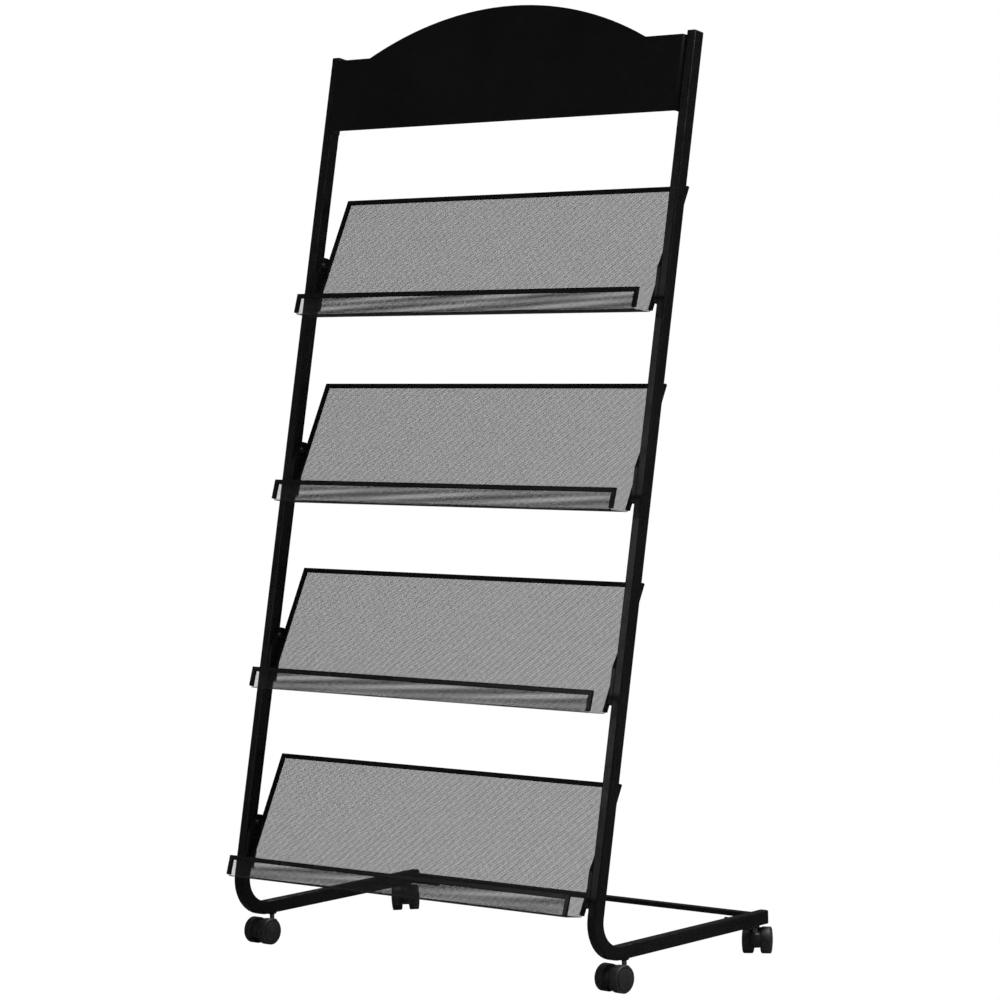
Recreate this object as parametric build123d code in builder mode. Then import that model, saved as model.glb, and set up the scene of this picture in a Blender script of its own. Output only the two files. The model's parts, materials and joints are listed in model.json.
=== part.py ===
"""Free-standing newspaper rack on four twin-wheel casters: four sloping mesh trays between two leaning
J-shaped side tubes, with an arched header and a rear crossbar. Millimetres, +Z up, front towards -Y."""

from build123d import *
import os
from math import cos, hypot, radians, sin, sqrt, tan

os.makedirs("parts", exist_ok=True)

# Side tubes: rectangular hollow section, leaning back, bent round at the foot into a level leg.
TUBE_WIDTH = 15.0
TUBE_DEPTH = 20.0
TUBE_CORNER = 2.25
TUBE_WALL = 1.2
TUBE_AXIS_X = 340.0
LEAN_DEG = 12.36
FOOT_Y = -200.6
TUBE_TOP = 1348.0
BEND_RADIUS = 45.5
LEG_AXIS_Z = 54.0
LEG_END_Y = 204.0

# Plastic end plugs.
CAP_THICKNESS = 2.0
CAP_DEPTH = 7.0
CAP_EDGE = 0.6

# Trays: a folded mesh sheet whose panel, bottom and lip are given by four corners of its profile,
# each as (distance out from the tube axis towards the front, distance up the lean from the panel top).
# The first and last corners are on the centre lines of the bars along the two long edges.
TRAY_COUNT = 4
TOP_TRAY_HEIGHT = 1134.7
TRAY_PITCH = 280.0
PANEL_TOP = (-39.6, 0.0)
PANEL_BOTTOM = (10.2, -184.7)
LIP_BOTTOM = (46.4, -187.0)
LIP_TOP = (43.5, -159.0)
FOLD_RADIUS = 2.0
MESH_THICKNESS = 0.8

# Tray frames: flat bars slotted over the edges of the sheet.
BAR_WIDTH = 6.5
BAR_THICKNESS = 4.0
BAR_AXIS_X = 323.0
SLOT_DEPTH = 4.0
FOLD_CLEARANCE = 0.5

# Lugs that carry a tray on the side tubes, with corners given like those of the tray profile, and
# their button-head screws.
LUG_CORNERS = ((-8.0, -172.0), (9.0, -172.0), (9.0, -121.0), (-2.0, -91.0), (-13.0, -91.0))
LUG_ROUNDING = 1.5
LUG_HOLES = ((-3.5, -104.0), (-3.5, -162.0))
SCREW_RADIUS = 2.4
SCREW_HEAD_RADIUS = 4.5
SCREW_HEAD_HEIGHT = 2.5
SCREW_HEAD_TAPER = 32.0
SCREW_SOCKET_RADIUS = 1.6
SCREW_SOCKET_DEPTH = 1.3
SCREW_REACH = 4.0
THREAD_RADIUS = 2.5
CLEARANCE_RADIUS = 2.65

# Header: a folded sheet with an arched top and a flange down each side.
HEADER_SHEET = 1.2
HEADER_FRONT = 15.6
HEADER_BACK = -9.0
HEADER_BOTTOM = 1232.5
HEADER_SHOULDER = 1341.5
HEADER_BEND = 3.5
ARCH_HALF_CHORD = 264.0
ARCH_RISE = 62.0
HEADER_HOLE_INSET = 22.0

# Rear crossbar between the legs, with a gusset and an end plate at each end.
CROSSBAR_Y = 190.0
CROSSBAR_Z = 57.0
CROSSBAR_HEIGHT = 7.0
CROSSBAR_DEPTH = 12.0
GUSSET_LENGTH = 54.0
GUSSET_BOTTOM_Z = 45.0
GUSSET_THICKNESS = 3.0
END_PLATE_THICKNESS = 3.0
END_PLATE_DEPTH = 22.0
END_PLATE_BOTTOM_Z = 45.5

# Casters: stem positions, how far each is turned about its stem, and the size of one caster.
FRONT_CASTER_Y = -117.5
REAR_CASTER_Y = 181.0
FRONT_LEFT_TURN = 0.0
FRONT_RIGHT_TURN = -3.0
REAR_RIGHT_TURN = 209.0
REAR_LEFT_TURN = 228.0
WHEEL_RADIUS = 19.5
WHEEL_INNER = 6.2
WHEEL_TREAD_END = 19.3
WHEEL_RIM_END = 20.0
WHEEL_OUTER = 21.6
WHEEL_EDGE = 1.0
WHEEL_CAP_RADIUS = 15.0
WHEEL_CAP_STEP = 0.6
TRAIL = 21.0
WEB_HALF_WIDTH = 5.6
WEB_RADIUS = 18.6
WEB_BOTTOM_Z = 11.0
WHEEL_CLEARANCE = 0.6
BOSS_RADIUS = 7.5
BOSS_BOTTOM_Z = 13.0
BOSS_TOP_Z = 33.5
BOSS_EDGE = 1.5
STEM_RADIUS = 3.5
STEM_BOTTOM_Z = 22.0
STEM_HEAD_RADIUS = 4.3
STEM_HEAD_HEIGHT = 1.5
SOCKET_CLEARANCE = 0.05
SOCKET_RADIUS = 5.0
SOCKET_TOP_Z = 59.0
SOCKET_FLANGE_RADIUS = 7.0
SOCKET_FLANGE_HEIGHT = 2.5
SOCKET_FLANGE_EDGE = 1.4
AXLE_RADIUS = 2.5
AXLE_CLEARANCE = 0.05
AXLE_HALF_LENGTH = 15.5
AXLE_END_GAP = 0.5

# Worked out from the sizes above.
LEAN = radians(LEAN_DEG)
UP_LEAN = Vector(0, sin(LEAN), cos(LEAN))
FORWARD = Vector(0, -cos(LEAN), sin(LEAN))
FOOT = Vector(0, FOOT_Y, 0)
TUBE_INNER_X = TUBE_AXIS_X - TUBE_WIDTH / 2
LEG_BOTTOM_Z = LEG_AXIS_Z - TUBE_DEPTH / 2
BAR_OUTER_X = BAR_AXIS_X + BAR_WIDTH / 2
TRAY_HALF_WIDTH = BAR_OUTER_X - BAR_WIDTH + SLOT_DEPTH
LUG_THICKNESS = TUBE_INNER_X - BAR_OUTER_X
TUBE_CUT_TOP = TUBE_TOP - CAP_THICKNESS
LEG_CUT_END = LEG_END_Y - CAP_THICKNESS
HEADER_HOLES = (
    (0.0, HEADER_BOTTOM + HEADER_HOLE_INSET),
    (0.0, HEADER_SHOULDER - HEADER_HOLE_INSET),
)
CASTER_PLACES = {
    "front_left": (-TUBE_AXIS_X, FRONT_CASTER_Y, FRONT_LEFT_TURN),
    "front_right": (TUBE_AXIS_X, FRONT_CASTER_Y, FRONT_RIGHT_TURN),
    "rear_left": (-TUBE_AXIS_X, REAR_CASTER_Y, REAR_LEFT_TURN),
    "rear_right": (TUBE_AXIS_X, REAR_CASTER_Y, REAR_RIGHT_TURN),
}


def save(part, name):
    """Writes one node's STEP file under its own name."""
    part.label = name
    export_step(part, f"parts/{name}.step")


def save_both_sides(part, name):
    """Writes a right-hand node and its mirror image on the left."""
    save(part, f"right_{name}")
    save(mirror(part, about=Plane.YZ), f"left_{name}")


def side_plane(x):
    """Plane across the rack at x: local x runs forward from the tube axis, local y up the lean."""
    return Plane(origin=FOOT + Vector(x, 0, 0), x_dir=FORWARD, z_dir=(-1, 0, 0))


def front_plane(forward):
    """Plane parallel to the leaning tubes: local x runs to the right, local y up the lean."""
    return Plane(origin=FOOT + FORWARD * forward, x_dir=(1, 0, 0), z_dir=FORWARD)


def section_plane(path, x_dir):
    """Plane square to the start of a path, for the section swept along it."""
    return Plane(origin=path @ 0, x_dir=x_dir, z_dir=path % 0)


def tray_point(corner, tray_height):
    """A corner of the tray profile in the coordinates of a side plane."""
    return (corner[0], corner[1] + tray_height)


def at_tray_heights(corner):
    """The same profile point on every tray."""
    heights = [TOP_TRAY_HEIGHT - i * TRAY_PITCH for i in range(TRAY_COUNT)]
    return [tray_point(corner, height) for height in heights]


# Side tubes.
def make_side_tube():
    """Right-hand side tube with its screw holes and caster socket holes."""
    knee = (FOOT_Y + LEG_AXIS_Z * tan(LEAN), LEG_AXIS_Z)
    top = (FOOT_Y + TUBE_CUT_TOP * sin(LEAN), TUBE_CUT_TOP * cos(LEAN))
    with BuildPart() as tube:
        with BuildLine(Plane.YZ.offset(TUBE_AXIS_X)) as path:
            FilletPolyline(top, knee, (LEG_CUT_END, LEG_AXIS_Z), radius=BEND_RADIUS)
        with BuildSketch(section_plane(path.line, (1, 0, 0))):
            RectangleRounded(TUBE_WIDTH, TUBE_DEPTH, TUBE_CORNER)
            RectangleRounded(
                TUBE_WIDTH - 2 * TUBE_WALL,
                TUBE_DEPTH - 2 * TUBE_WALL,
                TUBE_CORNER - TUBE_WALL,
                mode=Mode.SUBTRACT,
            )
        sweep()
        with BuildSketch(side_plane(TUBE_AXIS_X)):
            with Locations(*HEADER_HOLES):
                Circle(THREAD_RADIUS)
            for hole in LUG_HOLES:
                with Locations(*at_tray_heights(hole)):
                    Circle(THREAD_RADIUS)
        extrude(amount=TUBE_WIDTH, mode=Mode.SUBTRACT)
        with BuildSketch(Plane.YZ.offset(TUBE_AXIS_X)):
            with Locations((CROSSBAR_Y, LEG_AXIS_Z)):
                Circle(THREAD_RADIUS)
        extrude(amount=-TUBE_WIDTH, mode=Mode.SUBTRACT)
        with BuildSketch(Plane.XY.offset(LEG_BOTTOM_Z)):
            with Locations((TUBE_AXIS_X, FRONT_CASTER_Y), (TUBE_AXIS_X, REAR_CASTER_Y)):
                Circle(SOCKET_RADIUS)
        extrude(amount=TUBE_DEPTH / 2, mode=Mode.SUBTRACT)
    return tube.part


def make_end_cap(plane):
    """Flat plastic cap and its plug, on a plane at the cut end of a tube facing out of it."""
    with BuildPart() as cap:
        with BuildSketch(plane):
            RectangleRounded(TUBE_WIDTH, TUBE_DEPTH, TUBE_CORNER)
        extrude(amount=CAP_THICKNESS)
        chamfer(cap.faces().sort_by(Axis(plane.origin, plane.z_dir))[-1].edges(), CAP_EDGE)
        with BuildSketch(plane):
            RectangleRounded(
                TUBE_WIDTH - 2 * TUBE_WALL,
                TUBE_DEPTH - 2 * TUBE_WALL,
                TUBE_CORNER - TUBE_WALL,
            )
        extrude(amount=-CAP_DEPTH)
    return cap.part


top_end = Plane(
    origin=FOOT + UP_LEAN * TUBE_CUT_TOP + Vector(TUBE_AXIS_X, 0, 0),
    x_dir=(1, 0, 0),
    z_dir=UP_LEAN,
)
leg_end = Plane(
    origin=(TUBE_AXIS_X, LEG_CUT_END, LEG_AXIS_Z), x_dir=(1, 0, 0), z_dir=(0, 1, 0)
)
save_both_sides(make_side_tube(), "side_tube")
save_both_sides(make_end_cap(top_end), "top_cap")
save_both_sides(make_end_cap(leg_end), "leg_cap")


# Screws.
def make_screws(head_x, places, plane_at):
    """Button-head screws along X, heads on the inner side at head_x, one for each place."""
    tip_x = TUBE_INNER_X + SCREW_REACH
    with BuildPart() as screws:
        with BuildSketch(plane_at(head_x)):
            with Locations(*places):
                Circle(SCREW_HEAD_RADIUS)
        extrude(amount=SCREW_HEAD_HEIGHT, taper=SCREW_HEAD_TAPER)
        with BuildSketch(plane_at(tip_x)):
            with Locations(*places):
                Circle(SCREW_RADIUS)
        extrude(amount=tip_x - head_x)
        with BuildSketch(plane_at(head_x - SCREW_HEAD_HEIGHT + SCREW_SOCKET_DEPTH)):
            with Locations(*places):
                RegularPolygon(SCREW_SOCKET_RADIUS, side_count=6)
        extrude(amount=SCREW_HEAD_HEIGHT, mode=Mode.SUBTRACT)
    return screws.part


def level_plane(x):
    """Upright plane across the rack at x, facing -X: local x runs to the front, local y up."""
    return Plane(origin=(x, 0, 0), x_dir=(0, -1, 0), z_dir=(-1, 0, 0))


# Header.
def make_header():
    """Header sheet: a plan section swept round its two side bends, trimmed to the arched outline."""
    flange_x = TUBE_INNER_X - HEADER_SHEET / 2
    face = HEADER_FRONT - HEADER_SHEET / 2
    height = HEADER_SHOULDER + ARCH_RISE - HEADER_BOTTOM
    bottom = Plane(
        origin=FOOT + UP_LEAN * HEADER_BOTTOM, x_dir=(1, 0, 0), z_dir=UP_LEAN
    )
    with BuildPart() as header:
        with BuildLine(bottom) as path:
            FilletPolyline(
                (-flange_x, -HEADER_BACK),
                (-flange_x, -face),
                (flange_x, -face),
                (flange_x, -HEADER_BACK),
                radius=HEADER_BEND,
            )
        with BuildSketch(section_plane(path.line, UP_LEAN)):
            with Locations((height / 2, 0)):
                Rectangle(height, HEADER_SHEET)
        sweep()
        with BuildSketch(front_plane(HEADER_BACK)):
            with BuildLine():
                Polyline(
                    (-ARCH_HALF_CHORD, HEADER_SHOULDER),
                    (-TUBE_INNER_X, HEADER_SHOULDER),
                    (-TUBE_INNER_X, HEADER_BOTTOM),
                    (TUBE_INNER_X, HEADER_BOTTOM),
                    (TUBE_INNER_X, HEADER_SHOULDER),
                    (ARCH_HALF_CHORD, HEADER_SHOULDER),
                )
                ThreePointArc(
                    (ARCH_HALF_CHORD, HEADER_SHOULDER),
                    (0, HEADER_SHOULDER + ARCH_RISE),
                    (-ARCH_HALF_CHORD, HEADER_SHOULDER),
                )
            make_face()
        extrude(amount=HEADER_FRONT - HEADER_BACK, mode=Mode.INTERSECT)
        with BuildSketch(side_plane(TUBE_INNER_X)):
            with Locations(*HEADER_HOLES):
                Circle(CLEARANCE_RADIUS)
        extrude(amount=2 * TUBE_INNER_X, mode=Mode.SUBTRACT)
    return header.part


save(make_header(), "header_panel")
right_header_screws = make_screws(TUBE_INNER_X - HEADER_SHEET, HEADER_HOLES, side_plane)
header_screws = right_header_screws + mirror(right_header_screws, about=Plane.YZ)
save(header_screws, "header_screws")


# Rear crossbar.
def make_crossbar():
    """Bar between the legs with a gusset under each end and plates against the legs."""
    bar_bottom = CROSSBAR_Z - CROSSBAR_HEIGHT / 2
    bar_top = CROSSBAR_Z + CROSSBAR_HEIGHT / 2
    with BuildPart() as crossbar:
        with BuildSketch(Plane.XY.offset(bar_bottom)):
            with Locations((0, CROSSBAR_Y)):
                Rectangle(2 * TUBE_INNER_X, CROSSBAR_DEPTH)
        extrude(amount=CROSSBAR_HEIGHT)
        for side in (-1, 1):
            gusset_x = side * (TUBE_INNER_X - GUSSET_LENGTH / 2)
            with BuildSketch(Plane.XY.offset(GUSSET_BOTTOM_Z)):
                with Locations((gusset_x, CROSSBAR_Y)):
                    Rectangle(GUSSET_LENGTH, GUSSET_THICKNESS)
            extrude(amount=bar_bottom - GUSSET_BOTTOM_Z)
            plate_x = side * (TUBE_INNER_X - END_PLATE_THICKNESS / 2)
            with BuildSketch(Plane.XY.offset(END_PLATE_BOTTOM_Z)):
                with Locations((plate_x, CROSSBAR_Y)):
                    Rectangle(END_PLATE_THICKNESS, END_PLATE_DEPTH)
            extrude(amount=bar_top - END_PLATE_BOTTOM_Z)
        with BuildSketch(level_plane(TUBE_INNER_X)):
            with Locations(crossbar_hole):
                Circle(CLEARANCE_RADIUS)
        extrude(amount=END_PLATE_THICKNESS, mode=Mode.SUBTRACT)
        with BuildSketch(level_plane(TUBE_INNER_X - END_PLATE_THICKNESS)):
            with Locations(crossbar_hole):
                Circle(SCREW_HEAD_RADIUS)
        extrude(amount=2 * (TUBE_INNER_X - END_PLATE_THICKNESS), mode=Mode.SUBTRACT)
        with BuildSketch(level_plane(-TUBE_INNER_X + END_PLATE_THICKNESS)):
            with Locations(crossbar_hole):
                Circle(CLEARANCE_RADIUS)
        extrude(amount=END_PLATE_THICKNESS, mode=Mode.SUBTRACT)
    return crossbar.part


crossbar_hole = (-CROSSBAR_Y, LEG_AXIS_Z)
save(make_crossbar(), "rear_crossbar")
right_crossbar_screw = make_screws(
    TUBE_INNER_X - END_PLATE_THICKNESS, [crossbar_hole], level_plane
)
crossbar_screws = right_crossbar_screw + mirror(right_crossbar_screw, about=Plane.YZ)
save(crossbar_screws, "crossbar_screws")


# Trays.
def profile_position(corner):
    """A corner of the top tray's profile as a position in the middle plane of the rack."""
    forward, up = tray_point(corner, TOP_TRAY_HEIGHT)
    return FOOT + FORWARD * forward + UP_LEAN * up


def make_tray():
    """Top mesh tray: panel, bottom and lip folded from one sheet."""
    corners = [PANEL_TOP, PANEL_BOTTOM, LIP_BOTTOM, LIP_TOP]
    panel_run = hypot(PANEL_TOP[0] - PANEL_BOTTOM[0], PANEL_TOP[1] - PANEL_BOTTOM[1])
    lip_run = hypot(LIP_TOP[0] - LIP_BOTTOM[0], LIP_TOP[1] - LIP_BOTTOM[1])
    edge_gap = BAR_WIDTH / 2 - SLOT_DEPTH
    places = [profile_position(corner) for corner in corners]
    places[0] += (places[1] - places[0]) * (edge_gap / panel_run)
    places[3] += (places[2] - places[3]) * (edge_gap / lip_run)
    with BuildPart() as tray:
        with BuildLine() as path:
            FilletPolyline(*places, radius=FOLD_RADIUS)
        with BuildSketch(section_plane(path.line, (1, 0, 0))):
            Rectangle(2 * TRAY_HALF_WIDTH, MESH_THICKNESS)
        sweep()
    return tray.part


def make_tray_frame(fold, edge):
    """Flat-bar frame, an upside-down U, over the side and top edges of one flat of a tray."""
    low = profile_position(fold)
    high = profile_position(edge)
    height = (high - low).length + BAR_WIDTH / 2
    bottom = FOLD_RADIUS + FOLD_CLEARANCE
    normal = Vector(1, 0, 0).cross(high - low)
    flat = Plane(origin=low, x_dir=(1, 0, 0), z_dir=normal)
    inner_x = BAR_OUTER_X - BAR_WIDTH
    with BuildPart() as frame:
        with BuildSketch(flat.offset(-BAR_THICKNESS / 2)):
            with BuildLine():
                Polyline(
                    (-BAR_OUTER_X, bottom),
                    (-BAR_OUTER_X, height),
                    (BAR_OUTER_X, height),
                    (BAR_OUTER_X, bottom),
                    (inner_x, bottom),
                    (inner_x, height - BAR_WIDTH),
                    (-inner_x, height - BAR_WIDTH),
                    (-inner_x, bottom),
                    close=True,
                )
            make_face()
        extrude(amount=BAR_THICKNESS)
        with BuildSketch(flat.offset(-MESH_THICKNESS / 2)):
            with Locations((0, (height - BAR_WIDTH + SLOT_DEPTH) / 2)):
                Rectangle(2 * TRAY_HALF_WIDTH, height - BAR_WIDTH + SLOT_DEPTH)
        extrude(amount=MESH_THICKNESS, mode=Mode.SUBTRACT)
    return frame.part


def make_lug():
    """Right-hand lug of the top tray, between the tray frame and the side tube."""
    corners = [tray_point(corner, TOP_TRAY_HEIGHT) for corner in LUG_CORNERS]
    with BuildPart() as lug:
        with BuildSketch(side_plane(TUBE_INNER_X)) as outline:
            with BuildLine():
                Polyline(*corners, close=True)
            make_face()
            fillet(outline.vertices(), LUG_ROUNDING)
            for hole in LUG_HOLES:
                with Locations(tray_point(hole, TOP_TRAY_HEIGHT)):
                    Circle(CLEARANCE_RADIUS, mode=Mode.SUBTRACT)
        extrude(amount=LUG_THICKNESS)
    return lug.part


right_lug = make_lug()
right_tray_screws = make_screws(
    BAR_OUTER_X, [tray_point(hole, TOP_TRAY_HEIGHT) for hole in LUG_HOLES], side_plane
)
tray_pieces = {
    "mesh_tray": make_tray(),
    "back_frame": make_tray_frame(PANEL_BOTTOM, PANEL_TOP),
    "lip_frame": make_tray_frame(LIP_BOTTOM, LIP_TOP),
    "right_lug": right_lug,
    "left_lug": mirror(right_lug, about=Plane.YZ),
    "screws": right_tray_screws + mirror(right_tray_screws, about=Plane.YZ),
}
for i in range(TRAY_COUNT):
    drop = Location(UP_LEAN * (-i * TRAY_PITCH))
    for piece_name, piece in tray_pieces.items():
        save(piece.moved(drop), f"shelf_{i + 1}_{piece_name}")


# Casters: one is made with its stem on the Z axis and its wheels trailing towards -Y, then placed.
def make_socket():
    """Flanged plastic socket, pressed into the leg from below, that the stem turns in."""
    bottom = LEG_BOTTOM_Z - SOCKET_FLANGE_HEIGHT
    with BuildPart() as socket:
        with BuildSketch(Plane.XY.offset(bottom)):
            Circle(SOCKET_FLANGE_RADIUS)
        extrude(amount=SOCKET_FLANGE_HEIGHT)
        chamfer(socket.faces().sort_by(Axis.Z)[0].edges(), SOCKET_FLANGE_EDGE)
        with BuildSketch(Plane.XY.offset(LEG_BOTTOM_Z)):
            Circle(SOCKET_RADIUS)
        extrude(amount=SOCKET_TOP_Z - LEG_BOTTOM_Z)
        with BuildSketch(Plane.XY.offset(bottom)):
            Circle(STEM_RADIUS + SOCKET_CLEARANCE)
        extrude(amount=SOCKET_TOP_Z - bottom, mode=Mode.SUBTRACT)
    return socket.part


def make_stem():
    """Steel stem, fixed in the caster body, with a head above the socket that holds it in."""
    head_bottom = SOCKET_TOP_Z + WHEEL_CLEARANCE
    with BuildPart() as stem:
        with BuildSketch(Plane.XY.offset(STEM_BOTTOM_Z)):
            Circle(STEM_RADIUS)
        extrude(amount=head_bottom - STEM_BOTTOM_Z)
        with BuildSketch(Plane.XY.offset(head_bottom)):
            Circle(STEM_HEAD_RADIUS)
        extrude(amount=STEM_HEAD_HEIGHT)
    return stem.part


def axle_plane(x):
    """Plane square to the axle at x: local x runs towards +Y from the axle, local y up."""
    return Plane(origin=(x, -TRAIL, WHEEL_RADIUS), x_dir=(0, 1, 0), z_dir=(1, 0, 0))


def make_body():
    """Caster body: a web between the wheels and a boss round the stem, cut clear of the wheels."""
    with BuildPart() as body:
        with BuildSketch(Plane.XY.offset(BOSS_BOTTOM_Z)):
            Circle(BOSS_RADIUS)
        extrude(amount=BOSS_TOP_Z - BOSS_BOTTOM_Z)
        chamfer(body.faces().sort_by(Axis.Z)[-1].edges(), BOSS_EDGE)
        for side in (-1, 1):
            with BuildSketch(axle_plane(side * WEB_HALF_WIDTH)):
                Circle(WHEEL_RADIUS + WHEEL_CLEARANCE)
            extrude(amount=side * BOSS_RADIUS, mode=Mode.SUBTRACT)
        with BuildSketch(axle_plane(-WEB_HALF_WIDTH)):
            Circle(WEB_RADIUS)
            with Locations((0, WEB_BOTTOM_Z - 2 * WHEEL_RADIUS)):
                Rectangle(2 * WHEEL_RADIUS, 2 * WHEEL_RADIUS, mode=Mode.SUBTRACT)
        extrude(amount=2 * WEB_HALF_WIDTH)
        with BuildSketch(Plane.XY.offset(STEM_BOTTOM_Z)):
            Circle(STEM_RADIUS)
        extrude(amount=BOSS_TOP_Z - STEM_BOTTOM_Z, mode=Mode.SUBTRACT)
        with BuildSketch(axle_plane(-WEB_HALF_WIDTH)):
            Circle(AXLE_RADIUS)
        extrude(amount=2 * WEB_HALF_WIDTH, mode=Mode.SUBTRACT)
    return body.part


def make_axle():
    """Steel axle, fixed in the web, that both wheels turn on."""
    with BuildPart() as axle:
        with BuildSketch(axle_plane(-AXLE_HALF_LENGTH)):
            Circle(AXLE_RADIUS)
        extrude(amount=2 * AXLE_HALF_LENGTH)
    return axle.part


def make_wheel():
    """Wheel on the +X side of the web: level tread, stepped rim and domed outer cap, blind bore."""
    bore = AXLE_RADIUS + AXLE_CLEARANCE
    bore_end = AXLE_HALF_LENGTH + AXLE_END_GAP
    rim_radius = WHEEL_RADIUS - (WHEEL_RIM_END - WHEEL_TREAD_END)
    cap_edge_x = WHEEL_RIM_END - WHEEL_CAP_STEP
    dome_rise = WHEEL_OUTER - WHEEL_RIM_END - WHEEL_CAP_STEP
    dome_radius = (WHEEL_CAP_RADIUS**2 + dome_rise**2) / (2 * dome_rise)
    dome_middle = WHEEL_CAP_RADIUS / 2
    dome_x = WHEEL_OUTER - dome_radius + sqrt(dome_radius**2 - dome_middle**2)
    section = Plane(origin=(0, -TRAIL, WHEEL_RADIUS), x_dir=(1, 0, 0), z_dir=(0, -1, 0))
    with BuildPart() as wheel:
        with BuildSketch(section):
            with BuildLine():
                Polyline(
                    (WHEEL_OUTER, 0),
                    (bore_end, 0),
                    (bore_end, bore),
                    (WHEEL_INNER, bore),
                    (WHEEL_INNER, WHEEL_RADIUS - WHEEL_EDGE),
                    (WHEEL_INNER + WHEEL_EDGE, WHEEL_RADIUS),
                    (WHEEL_TREAD_END, WHEEL_RADIUS),
                    (WHEEL_RIM_END, rim_radius),
                    (WHEEL_RIM_END, WHEEL_CAP_RADIUS + WHEEL_CAP_STEP),
                    (cap_edge_x, WHEEL_CAP_RADIUS + WHEEL_CAP_STEP),
                    (cap_edge_x, WHEEL_CAP_RADIUS),
                    (WHEEL_RIM_END + WHEEL_CAP_STEP, WHEEL_CAP_RADIUS),
                )
                ThreePointArc(
                    (WHEEL_RIM_END + WHEEL_CAP_STEP, WHEEL_CAP_RADIUS),
                    (dome_x, dome_middle),
                    (WHEEL_OUTER, 0),
                )
            make_face()
        revolve(axis=Axis((0, -TRAIL, WHEEL_RADIUS), (1, 0, 0)))
    return wheel.part


right_wheel = make_wheel()
caster_pieces = {
    "socket": make_socket(),
    "stem": make_stem(),
    "body": make_body(),
    "axle": make_axle(),
    "right_wheel": right_wheel,
    "left_wheel": mirror(right_wheel, about=Plane.YZ),
}
for place_name, (place_x, place_y, turn) in CASTER_PLACES.items():
    place = Location((place_x, place_y, 0), (0, 0, turn))
    for piece_name, piece in caster_pieces.items():
        save(piece.moved(place), f"{place_name}_caster_{piece_name}")
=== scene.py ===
"""Looks of the newspaper rack: expanded-mesh trays in place of the plain CAD sheets, procedural
materials on every piece, a white studio and the camera. Metres, +Z up, front towards -Y."""

import json
from math import cos, pi, radians, sin, tan

import bpy
from mathutils import Matrix, Vector


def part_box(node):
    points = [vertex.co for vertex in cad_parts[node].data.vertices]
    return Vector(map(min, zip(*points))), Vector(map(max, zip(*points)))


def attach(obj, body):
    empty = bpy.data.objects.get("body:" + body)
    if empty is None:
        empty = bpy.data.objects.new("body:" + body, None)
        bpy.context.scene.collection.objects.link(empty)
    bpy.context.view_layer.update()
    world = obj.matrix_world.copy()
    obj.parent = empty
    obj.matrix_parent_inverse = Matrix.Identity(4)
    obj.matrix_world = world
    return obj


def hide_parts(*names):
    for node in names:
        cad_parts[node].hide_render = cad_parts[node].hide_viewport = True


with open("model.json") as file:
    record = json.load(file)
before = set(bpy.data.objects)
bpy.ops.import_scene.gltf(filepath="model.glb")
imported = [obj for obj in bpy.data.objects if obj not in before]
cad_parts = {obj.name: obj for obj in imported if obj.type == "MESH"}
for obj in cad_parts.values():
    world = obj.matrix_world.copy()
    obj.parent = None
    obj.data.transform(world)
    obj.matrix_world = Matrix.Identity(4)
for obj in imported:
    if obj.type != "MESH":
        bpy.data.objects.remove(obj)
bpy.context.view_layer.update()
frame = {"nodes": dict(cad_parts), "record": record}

# Camera, in the row frame.
CAMERA_PLACE = (3.533, -4.0136, 0.9927)
CAMERA_YAW = 41.13
CAMERA_PITCH = 5.02
CAMERA_ROLL = -1.535
CAMERA_LENS = 133.13
CAMERA_SENSOR = 36.0
CAMERA_SHIFT_Y = 0.0955

# Mesh trays: strand spacing and section, and the strands' angle to the tray's long edge.
STRAND_SPACING = 0.0018
STRAND_WIDTH = 0.00066
STRAND_THICKNESS = 0.00025
STRAND_LAYER_GAP = 0.00008
STRAND_ANGLE = 47.0
# Strand width in the upright lip, as a share of that in the panel.
LIP_STRAND_SHARE = 0.42
# Strand widths swell and shrink over this many strands, by this share in each of the two families.
WEAVE_PERIOD = 5.5
WEAVE_SWING = {1: 0.06, -1: 0.14}
# Profile of the sheet, whose lean and folds are those of the CAD tray.
FOLD_RADIUS = 0.002
FOLD_STEPS = 4
TRAY_COUNT = 4
LEAN = 12.36
TRAY_PROFILE = ((-0.0396, 0.0), (0.0102, -0.1847), (0.0464, -0.1870), (0.0435, -0.1590))
EDGE_GAP = -0.00075

# Bevels that catch the light along the edges of the metal and plastic pieces, and the distance
# below which two points count as one.
WELD_DISTANCE = 1e-6
EDGE_ANGLE = 30.0
EDGE_SEGMENTS = 2

# Noise scales per metre, with bump strengths and heights in metres.
CLOUD_SCALE = 9.0
RUBBED_SCALE = 46.0
RUBBED_DETAIL = 6.0
RUBBED_BAND = (0.42, 0.68)
PEEL_SCALE = 850.0
PEEL_STRENGTH = 0.35
PEEL_HEIGHT = 0.00012
FINE_GRAIN_SCALE = 3200.0
FINE_GRAIN_STRENGTH = 0.2
FINE_GRAIN_HEIGHT = 0.00004
BUMP_DETAIL = 2.0
PLASTIC_CLOUD_SCALE = 60.0
PLASTIC_CLOUD_DETAIL = 4.0
PLASTIC_WEAR_SCALE = 210.0
PLASTIC_WEAR_DETAIL = 5.0
PLASTIC_GRAIN_STRENGTH = 0.3
PLASTIC_GRAIN_HEIGHT = 0.00008
PLASTIC_SPECULAR = 0.4
ZINC_CLOUD_SCALE = 160.0
ZINC_CLOUD_DETAIL = 4.0
ZINC_DARK = (0.34, 0.34, 0.35)
ZINC_LIGHT = (0.5, 0.5, 0.51)
ZINC_WEAR_SCALE = 420.0
ZINC_WEAR_DETAIL = 5.0
ZINC_ROUGHNESS = (0.34, 0.55)
ZINC_RING_SCALE = 900.0
ZINC_RING_DISTORTION = 1.2
ZINC_RING_STRENGTH = 0.25
ZINC_RING_HEIGHT = 0.00005


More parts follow.
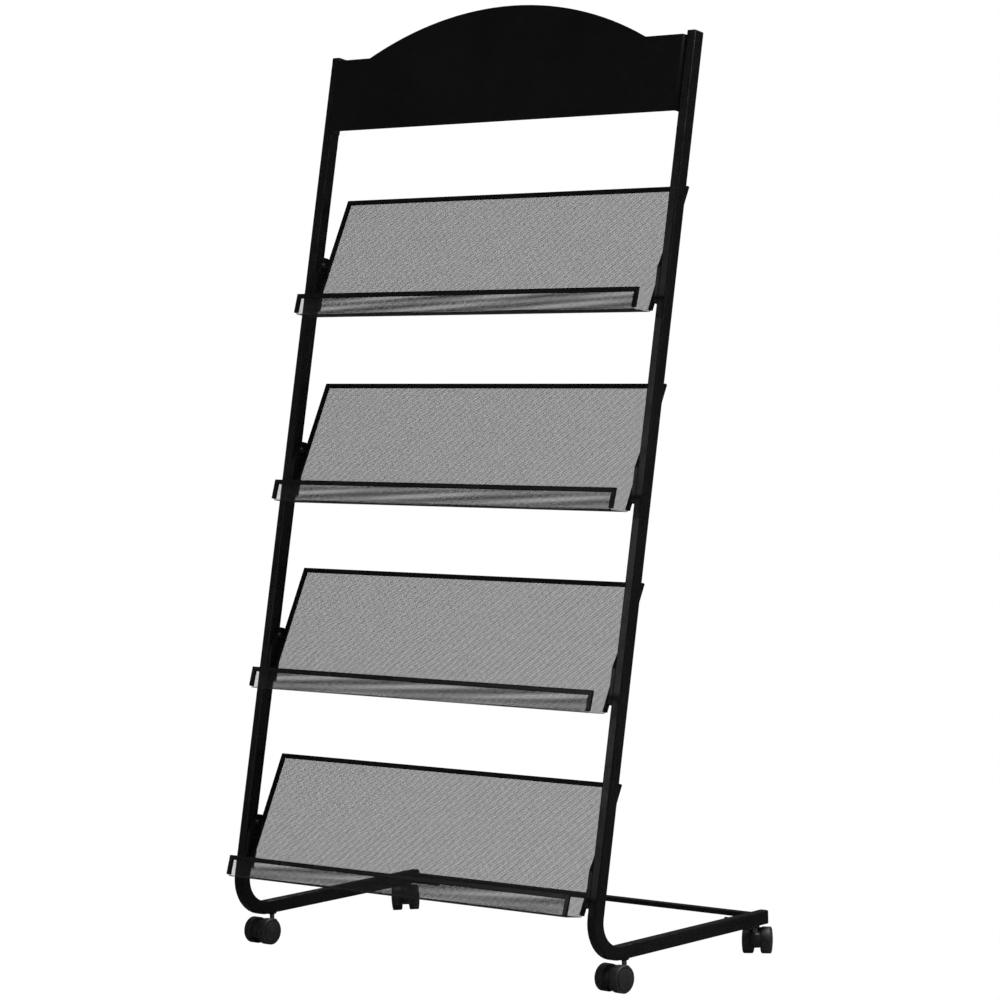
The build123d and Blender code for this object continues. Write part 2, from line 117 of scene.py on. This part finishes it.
def out_vector():
    """Unit vector square to the leaning tubes, towards the front."""
    return Vector((0, -cos(radians(LEAN)), sin(radians(LEAN))))


def up_vector():
    """Unit vector up the leaning tubes."""
    return Vector((0, sin(radians(LEAN)), cos(radians(LEAN))))


# Node helpers.
class Shader:
    """A new material with its Principled shader, and short ways to add nodes to it."""

    def __init__(self, name):
        self.material = bpy.data.materials.new(name)
        self.material.use_nodes = True
        self.tree = self.material.node_tree
        self.principled = self.tree.nodes["Principled BSDF"]
        self.place = self.add("ShaderNodeTexCoord").outputs["Object"]

    def add(self, kind, **settings):
        node = self.tree.nodes.new(kind)
        for key, value in settings.items():
            setattr(node, key, value)
        return node

    def link(self, source, target):
        self.tree.links.new(source, target)

    def noise(self, scale, detail=3.0, roughness=0.55):
        """Noise factor at a scale given per metre."""
        node = self.add("ShaderNodeTexNoise")
        node.inputs["Scale"].default_value = scale
        node.inputs["Detail"].default_value = detail
        node.inputs["Roughness"].default_value = roughness
        self.link(self.place, node.inputs["Vector"])
        return node.outputs["Fac"]

    def spread(self, factor, low, high, low_in=0.35, high_in=0.65):
        """A factor remapped to run between two values."""
        node = self.add("ShaderNodeMapRange")
        node.inputs["From Min"].default_value = low_in
        node.inputs["From Max"].default_value = high_in
        node.inputs["To Min"].default_value = low
        node.inputs["To Max"].default_value = high
        self.link(factor, node.inputs["Value"])
        return node.outputs["Result"]

    def colours(self, factor, first, second):
        """Two colours mixed by a factor."""
        node = self.add("ShaderNodeMix", data_type="RGBA")
        self.link(factor, node.inputs["Factor"])
        node.inputs["A"].default_value = (*first, 1)
        node.inputs["B"].default_value = (*second, 1)
        return node.outputs["Result"]

    def bump(self, height, strength, distance, normal=None):
        """A bump of a given height in metres."""
        node = self.add("ShaderNodeBump")
        node.inputs["Strength"].default_value = strength
        node.inputs["Distance"].default_value = distance
        self.link(height, node.inputs["Height"])
        if normal is not None:
            self.link(normal, node.inputs["Normal"])
        return node.outputs["Normal"]

    def base(self, output):
        self.link(output, self.principled.inputs["Base Color"])

    def roughness(self, output):
        self.link(output, self.principled.inputs["Roughness"])

    def normal(self, output):
        self.link(output, self.principled.inputs["Normal"])


def powder_coat(name, dark, light, rough_low, rough_high, specular):
    """Black powder coat: fine orange peel, cloudy tone and places rubbed to another gloss."""
    paint = Shader(name)
    cloudy = paint.noise(CLOUD_SCALE)
    patches = paint.noise(RUBBED_SCALE, detail=RUBBED_DETAIL)
    rubbed = paint.spread(patches, 0.0, 1.0, *RUBBED_BAND)
    tone = paint.colours(paint.spread(cloudy, 0.0, 1.0), dark, light)
    paint.base(tone)
    blend = paint.add("ShaderNodeMath", operation="MULTIPLY_ADD")
    paint.link(rubbed, blend.inputs[0])
    blend.inputs[1].default_value = rough_high - rough_low
    blend.inputs[2].default_value = rough_low
    paint.roughness(blend.outputs["Value"])
    orange_peel = paint.noise(PEEL_SCALE, detail=BUMP_DETAIL)
    peel = paint.bump(orange_peel, PEEL_STRENGTH, PEEL_HEIGHT)
    fine_grain = paint.noise(FINE_GRAIN_SCALE, detail=BUMP_DETAIL)
    grain = paint.bump(fine_grain, FINE_GRAIN_STRENGTH, FINE_GRAIN_HEIGHT, peel)
    paint.normal(grain)
    paint.principled.inputs["Specular IOR Level"].default_value = specular
    return paint.material


def moulded_plastic(name, dark, light, rough_low, rough_high, grain_scale):
    """Black moulded plastic: fine spark-eroded grain, cloudy tone and soft wear."""
    plastic = Shader(name)
    cloudy = plastic.noise(PLASTIC_CLOUD_SCALE, detail=PLASTIC_CLOUD_DETAIL)
    plastic.base(plastic.colours(plastic.spread(cloudy, 0.0, 1.0), dark, light))
    worn = plastic.noise(PLASTIC_WEAR_SCALE, detail=PLASTIC_WEAR_DETAIL)
    plastic.roughness(plastic.spread(worn, rough_low, rough_high))
    spark_grain = plastic.noise(grain_scale, detail=BUMP_DETAIL)
    grain = plastic.bump(spark_grain, PLASTIC_GRAIN_STRENGTH, PLASTIC_GRAIN_HEIGHT)
    plastic.normal(grain)
    plastic.principled.inputs["Specular IOR Level"].default_value = PLASTIC_SPECULAR
    return plastic.material


def zinc_plate(name):
    """Dull zinc plate: grey metal with cloudy tone and turned marks."""
    zinc = Shader(name)
    cloudy = zinc.noise(ZINC_CLOUD_SCALE, detail=ZINC_CLOUD_DETAIL)
    zinc.base(zinc.colours(zinc.spread(cloudy, 0.0, 1.0), ZINC_DARK, ZINC_LIGHT))
    zinc.principled.inputs["Metallic"].default_value = 1.0
    worn = zinc.noise(ZINC_WEAR_SCALE, detail=ZINC_WEAR_DETAIL)
    zinc.roughness(zinc.spread(worn, *ZINC_ROUGHNESS))
    rings = zinc.add("ShaderNodeTexWave", wave_type="BANDS", bands_direction="Z")
    rings.inputs["Scale"].default_value = ZINC_RING_SCALE
    rings.inputs["Distortion"].default_value = ZINC_RING_DISTORTION
    zinc.link(zinc.place, rings.inputs["Vector"])
    zinc.normal(zinc.bump(rings.outputs["Fac"], ZINC_RING_STRENGTH, ZINC_RING_HEIGHT))
    return zinc.material


MATERIALS = {
    "frame": powder_coat(
        "frame_powder_coat", (0.0032, 0.003, 0.0038), (0.0052, 0.005, 0.0058), 0.2, 0.33, 0.4
    ),
    "header": powder_coat(
        "header_powder_coat", (0.0034, 0.0029, 0.0041), (0.0048, 0.0043, 0.0056), 0.5, 0.66, 0.15
    ),
    "mesh": powder_coat(
        "mesh_powder_coat", (0.009, 0.009, 0.010), (0.014, 0.014, 0.016), 0.36, 0.52, 0.4
    ),
    "screw": powder_coat(
        "screw_coating", (0.006, 0.0058, 0.0066), (0.011, 0.0108, 0.012), 0.58, 0.72, 0.2
    ),
    "plug": moulded_plastic(
        "plug_plastic", (0.010, 0.010, 0.0106), (0.016, 0.016, 0.0168), 0.42, 0.6, 2400.0
    ),
    "caster": moulded_plastic(
        "caster_plastic", (0.006, 0.006, 0.007), (0.011, 0.011, 0.0125), 0.36, 0.56, 2000.0
    ),
    "wheel": moulded_plastic(
        "wheel_plastic", (0.009, 0.009, 0.0105), (0.016, 0.016, 0.0178), 0.4, 0.62, 1600.0
    ),
    "zinc": zinc_plate("zinc_plate"),
}
SLOT_MATERIALS = {
    "frame_black": "frame",
    "mesh_black": "mesh",
    "screw_black": "screw",
    "plug_plastic": "plug",
    "caster_plastic": "caster",
    "wheel_plastic": "wheel",
    "zinc_steel": "zinc",
}
SLOT_BEVELS = {
    "frame_black": 0.0004,
    "plug_plastic": 0.0003,
    "caster_plastic": 0.0005,
    "wheel_plastic": 0.0003,
}


def dress(node, material, bevel):
    """Gives a CAD node its material and, where it has one, a bevel along its sharp edges."""
    piece = frame["nodes"][node]
    piece.data.materials.clear()
    piece.data.materials.append(material)
    if bevel:
        weld = piece.modifiers.new("weld", "WELD")
        weld.merge_threshold = WELD_DISTANCE
        edges = piece.modifiers.new("edges", "BEVEL")
        edges.width = bevel
        edges.segments = EDGE_SEGMENTS
        edges.limit_method = "ANGLE"
        edges.angle_limit = radians(EDGE_ANGLE)
        edges.harden_normals = True


def dress_all():
    """Every CAD node gets the material of its slot in the record."""
    for entry in frame["record"]["subparts"]:
        node, slot_name = entry["node"], entry["material_slot"]
        material = MATERIALS[SLOT_MATERIALS[slot_name]]
        if node == "header_panel":
            material = MATERIALS["header"]
        dress(node, material, SLOT_BEVELS.get(slot_name, 0))


# Mesh trays.
class Sheet:
    """The unfolded sheet of a tray: turns a distance along its profile into a place and a normal."""

    def __init__(self, corners):
        self.spans = []
        start = corners[0]
        travelled = 0.0
        for behind, here, ahead in zip(corners, corners[1:], corners[2:]):
            into = (here - behind).normalized()
            away = (ahead - here).normalized()
            turn = into.angle(away)
            reach = FOLD_RADIUS * tan(turn / 2)
            end = here - into * reach
            run = (end - start).length
            self.spans.append(("flat", travelled, run, start, into, None))
            travelled += run
            toward = (away - into * into.dot(away)).normalized()
            centre = end + toward * FOLD_RADIUS
            self.spans.append(("fold", travelled, turn * FOLD_RADIUS, centre, into, toward))
            travelled += turn * FOLD_RADIUS
            start = here + away * reach
        into = (corners[-1] - corners[-2]).normalized()
        run = (corners[-1] - start).length
        self.spans.append(("flat", travelled, run, start, into, None))
        self.lip_start = travelled
        self.length = travelled + run

    def stops(self):
        """Distances at which a strand needs a point: the ends of the flats and steps in the folds."""
        stops = []
        for kind, first, run, *_ in self.spans:
            steps = FOLD_STEPS if kind == "fold" else 1
            stops += [first + run * i / steps for i in range(steps)]
        return stops + [self.length]

    def at(self, distance):
        """Place, direction and normal, in the rack's middle plane, at a distance along the profile."""
        for kind, first, run, origin, along, toward in self.spans:
            if distance <= first + run:
                break
        if kind == "flat":
            place = origin + along * (distance - first)
            direction = along
        else:
            angle = (distance - first) / FOLD_RADIUS
            place = origin + (along * sin(angle) - toward * cos(angle)) * FOLD_RADIUS
            direction = along * cos(angle) + toward * sin(angle)
        return place, direction, Vector((1, 0, 0)).cross(direction)


def strand_points(sheet, half_width, start, slope):
    """Where one slanting strand crosses the stops, as (x, distance along the profile) pairs."""
    reach = half_width - STRAND_WIDTH / 2
    low, high = sorted(((-reach - start) * slope, (reach - start) * slope))
    low, high = max(low, STRAND_WIDTH / 2), min(high, sheet.length - STRAND_WIDTH / 2)
    if high - low < STRAND_SPACING:
        return []
    inner = [stop for stop in sheet.stops() if low < stop < high]
    return [(start + distance / slope, distance) for distance in [low, *inner, high]]


def add_strand(sheet, points, layer, full_width, vertices, faces):
    """One flat strand, narrower in the lip, as a closed band of rectangles along its points."""
    first = len(vertices)
    for x, distance in points:
        place, along, normal = sheet.at(distance)
        in_lip = distance > sheet.lip_start - WELD_DISTANCE
        width = full_width * (LIP_STRAND_SHARE if in_lip else 1)
        across_x = -sin(radians(STRAND_ANGLE)) * width / 2
        across_run = layer * cos(radians(STRAND_ANGLE)) * width / 2
        for side, level in ((-1, -1), (1, -1), (1, 1), (-1, 1)):
            lift = layer * STRAND_LAYER_GAP + level * STRAND_THICKNESS / 2
            shift = along * side * across_run + normal * lift
            vertices.append(place + shift + Vector((x + side * across_x, 0, 0)))
    for i in range(len(points) - 1):
        here, ahead = first + 4 * i, first + 4 * i + 4
        for j in range(4):
            k = (j + 1) % 4
            faces.append((here + j, here + k, ahead + k, ahead + j))
    last = first + 4 * (len(points) - 1)
    faces.append((first + 3, first + 2, first + 1, first))
    faces.append((last, last + 1, last + 2, last + 3))


def mesh_sheet(half_width, corners):
    """Mesh data of the tray's expanded-metal sheet: two crossing families of slanting strands."""
    sheet = Sheet(corners)
    vertices, faces = [], []
    step = STRAND_SPACING / sin(radians(STRAND_ANGLE))
    overhang = sheet.length / tan(radians(STRAND_ANGLE))
    count = int((2 * half_width + overhang) / step)
    for family in (-1, 1):
        slope = family * tan(radians(STRAND_ANGLE))
        edge = -half_width - (overhang if family > 0 else 0.0)
        for i in range(count + 1):
            points = strand_points(sheet, half_width, edge + i * step, slope)
            width = STRAND_WIDTH * (1 + WEAVE_SWING[family] * sin(2 * pi * i / WEAVE_PERIOD))
            if points:
                add_strand(sheet, points, family, width, vertices, faces)
    data = bpy.data.meshes.new("tray_mesh")
    data.from_pydata([tuple(v) for v in vertices], [], faces)
    data.materials.append(MATERIALS["mesh"])
    data.validate()
    return data


def tray_corners(low, high):
    """The four profile corners of the top tray, centred on the box of its CAD sheet."""
    corners = [out_vector() * n + up_vector() * s for n, s in TRAY_PROFILE]
    corners[0] += (corners[1] - corners[0]).normalized() * EDGE_GAP
    corners[3] += (corners[2] - corners[3]).normalized() * EDGE_GAP
    ys = [corner.y for corner in corners]
    zs = [corner.z for corner in corners]
    middle = Vector((0, (min(ys) + max(ys)) / 2, (min(zs) + max(zs)) / 2))
    shift = (low + high) / 2 - middle
    return [corner + shift for corner in corners]


def make_trays():
    """One mesh sheet for each tray, all sharing the same mesh data."""
    low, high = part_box("shelf_1_mesh_tray")
    data = mesh_sheet((high.x - low.x) / 2, tray_corners(low, high))
    for i in range(TRAY_COUNT):
        node = f"shelf_{i + 1}_mesh_tray"
        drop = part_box(node)[1] - high
        piece = bpy.data.objects.new(f"shelf_{i + 1}_mesh", data)
        bpy.context.scene.collection.objects.link(piece)
        piece.location = drop
        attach(piece, "rack")
        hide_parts(node)


# Studio.
FLOOR_SIZE = 60.0
FLOOR_DARK = (0.9, 0.9, 0.9)
FLOOR_LIGHT = (0.93, 0.93, 0.93)
FLOOR_NOISE_SCALE = 3.0
FLOOR_ROUGHNESS = 0.9
FLOOR_SPECULAR = 0.1
WORLD_SEEN = 1.0
WORLD_LIGHT = 0.05
SUN_FROM = (0.55, 0.5, 1.6)
SUN_STRENGTH = 5.0
SUN_SPREAD = 55.0
SOFTBOXES = {
    "left_front": ((-2.35, -4.2, 1.9), 1.8, 9.0),
    "right": ((3.8, 0.6, 2.2), 2.0, 2.5),
}
AIM = (0.0, 0.05, 0.65)


def make_world():
    """White to the camera, and a dim even light on the object."""
    world = bpy.data.worlds.new("studio")
    bpy.context.scene.world = world
    world.use_nodes = True
    tree = world.node_tree
    seen = tree.nodes["Background"]
    seen.inputs["Color"].default_value = (1, 1, 1, 1)
    seen.inputs["Strength"].default_value = WORLD_SEEN
    light = tree.nodes.new("ShaderNodeBackground")
    light.inputs["Color"].default_value = (1, 1, 1, 1)
    light.inputs["Strength"].default_value = WORLD_LIGHT
    path = tree.nodes.new("ShaderNodeLightPath")
    mix = tree.nodes.new("ShaderNodeMixShader")
    tree.links.new(path.outputs["Is Camera Ray"], mix.inputs["Fac"])
    tree.links.new(light.outputs["Background"], mix.inputs[1])
    tree.links.new(seen.outputs["Background"], mix.inputs[2])
    tree.links.new(mix.outputs["Shader"], tree.nodes["World Output"].inputs["Surface"])


def make_floor():
    """Large pale floor under the wheels, which the camera sees as plain white."""
    half = FLOOR_SIZE / 2
    data = bpy.data.meshes.new("floor")
    corners = [(-half, -half, 0), (half, -half, 0), (half, half, 0), (-half, half, 0)]
    data.from_pydata(corners, [], [(0, 1, 2, 3)])
    floor = bpy.data.objects.new("floor", data)
    bpy.context.scene.collection.objects.link(floor)
    paper = Shader("floor_paper")
    cloudy = paper.noise(FLOOR_NOISE_SCALE)
    paper.base(paper.colours(paper.spread(cloudy, 0.0, 1.0), FLOOR_DARK, FLOOR_LIGHT))
    paper.principled.inputs["Roughness"].default_value = FLOOR_ROUGHNESS
    paper.principled.inputs["Specular IOR Level"].default_value = FLOOR_SPECULAR
    white = paper.add("ShaderNodeEmission")
    seen = paper.add("ShaderNodeLightPath")
    mix = paper.add("ShaderNodeMixShader")
    paper.link(seen.outputs["Is Camera Ray"], mix.inputs["Fac"])
    paper.link(paper.principled.outputs["BSDF"], mix.inputs[1])
    paper.link(white.outputs["Emission"], mix.inputs[2])
    paper.link(mix.outputs["Shader"], paper.tree.nodes["Material Output"].inputs["Surface"])
    data.materials.append(paper.material)
    floor.visible_glossy = False


def add_light(name, lamp, place):
    """Puts a light at a place, aimed at the middle of the rack."""
    light = bpy.data.objects.new(name, lamp)
    light.location = place
    light.rotation_mode = "QUATERNION"
    light.rotation_quaternion = (Vector(AIM) - Vector(place)).to_track_quat("-Z", "Y")
    bpy.context.scene.collection.objects.link(light)


def make_lights():
    """An even overhead light that whitens the floor, and softboxes that draw the edges."""
    sun = bpy.data.lights.new("overhead", "SUN")
    sun.energy = SUN_STRENGTH
    sun.angle = radians(SUN_SPREAD)
    add_light("overhead", sun, Vector(AIM) + Vector(SUN_FROM))
    for name, (place, size, power) in SOFTBOXES.items():
        box = bpy.data.lights.new(name, "AREA")
        box.size = size
        box.energy = power
        add_light(name, box, place)


def make_camera():
    """Camera at the photograph's place and angle."""
    data = bpy.data.cameras.new("camera")
    data.lens = CAMERA_LENS
    data.sensor_width = CAMERA_SENSOR
    data.shift_y = CAMERA_SHIFT_Y
    camera = bpy.data.objects.new("camera", data)
    turn = Matrix.Rotation(radians(CAMERA_YAW), 4, "Z")
    tilt = Matrix.Rotation(radians(90 - CAMERA_PITCH), 4, "X")
    roll = Matrix.Rotation(radians(CAMERA_ROLL), 4, "Z")
    camera.matrix_world = Matrix.Translation(CAMERA_PLACE) @ turn @ tilt @ roll
    bpy.context.scene.collection.objects.link(camera)
    bpy.context.scene.camera = camera


dress_all()
make_trays()
make_world()
make_floor()
make_lights()
make_camera()
bpy.context.scene.view_settings.view_transform = "Standard"

bpy.context.view_layer.update()
